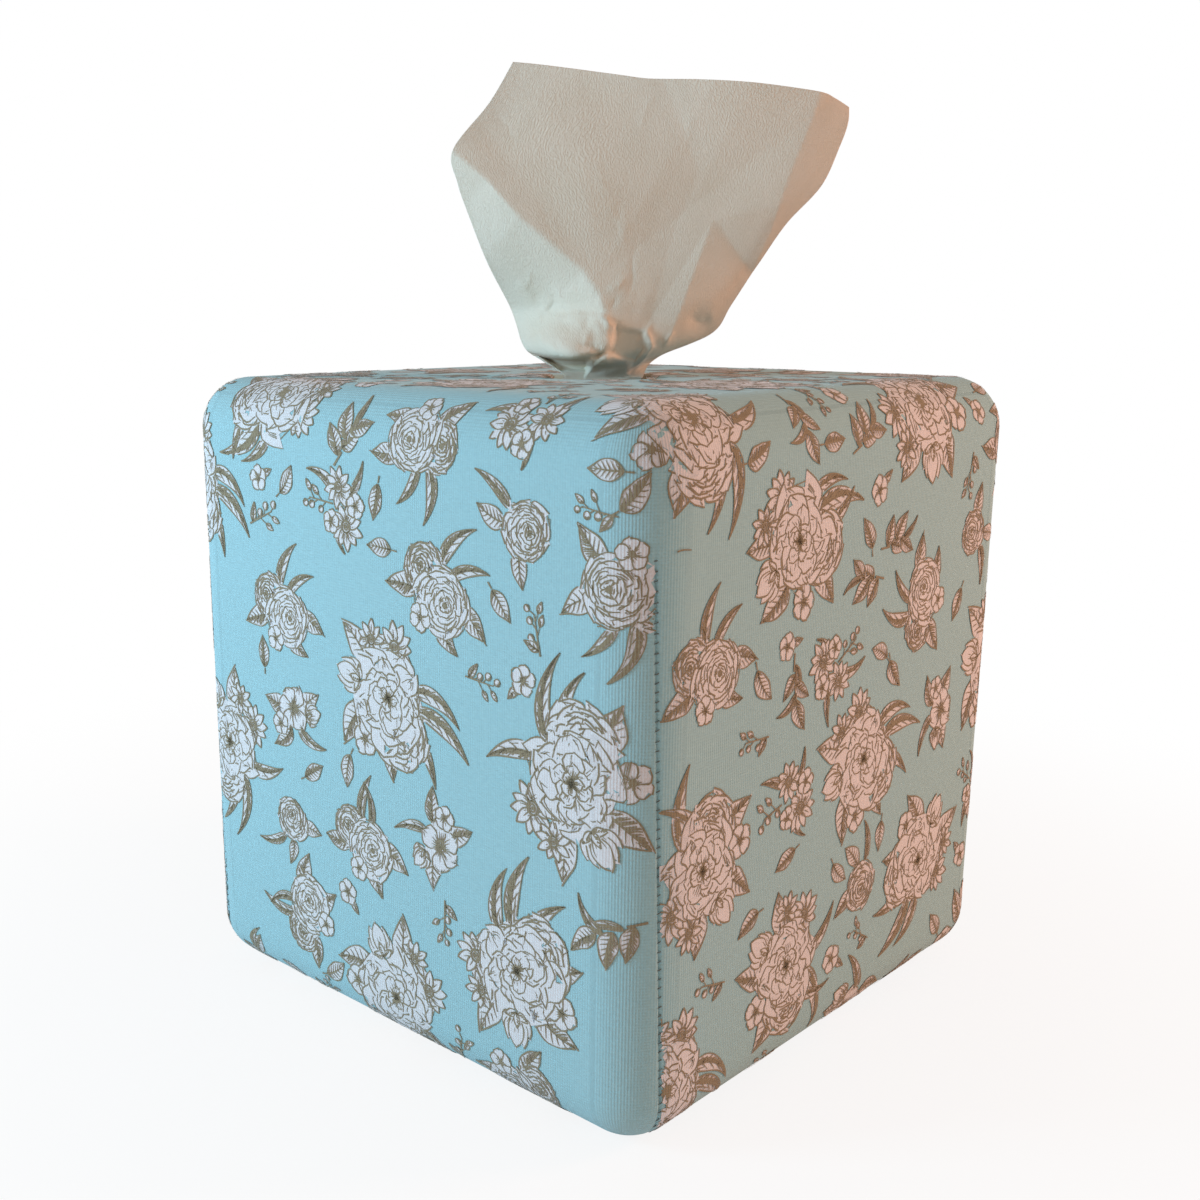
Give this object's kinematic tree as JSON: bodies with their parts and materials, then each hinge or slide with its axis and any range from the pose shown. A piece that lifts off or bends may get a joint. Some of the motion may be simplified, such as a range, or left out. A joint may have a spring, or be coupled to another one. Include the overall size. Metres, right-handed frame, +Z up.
{
  "type": "toilet roll tissue box",
  "caption": "Padded cube in floral cloth that stands over a toilet roll, with paper drawn up through the hole in its top",
  "frame": {"origin": "On the surface that the box stands on, under the middle of the box", "axes": "+Z is up. The front wall faces -Y and the left wall faces -X; the picture shows the corner between them."},
  "size_m": [0.135, 0.135, 0.2061],
  "materials": {
    "printed_cloth": "aqua stretch cloth with a pale floral print drawn in brown lines, matt",
    "foam": "cream polyurethane foam",
    "greyboard": "uncoated grey board",
    "lining_cloth": "plain off-white cloth, matt",
    "roll_paper": "soft embossed paper, wound",
    "sheet_paper": "soft embossed paper, gathered"
  },
  "bodies": {
    "root": {"printed_cover": "printed_cloth", "foam_front": "foam", "foam_left": "foam", "foam_back": "foam", "foam_right": "foam", "foam_top": "foam", "board_front": "greyboard", "board_left": "greyboard", "board_back": "greyboard", "board_right": "greyboard", "board_top": "greyboard", "lining": "lining_cloth", "toilet_roll": "roll_paper", "drawn_sheet": "sheet_paper"}
  },
  "joints": []
}
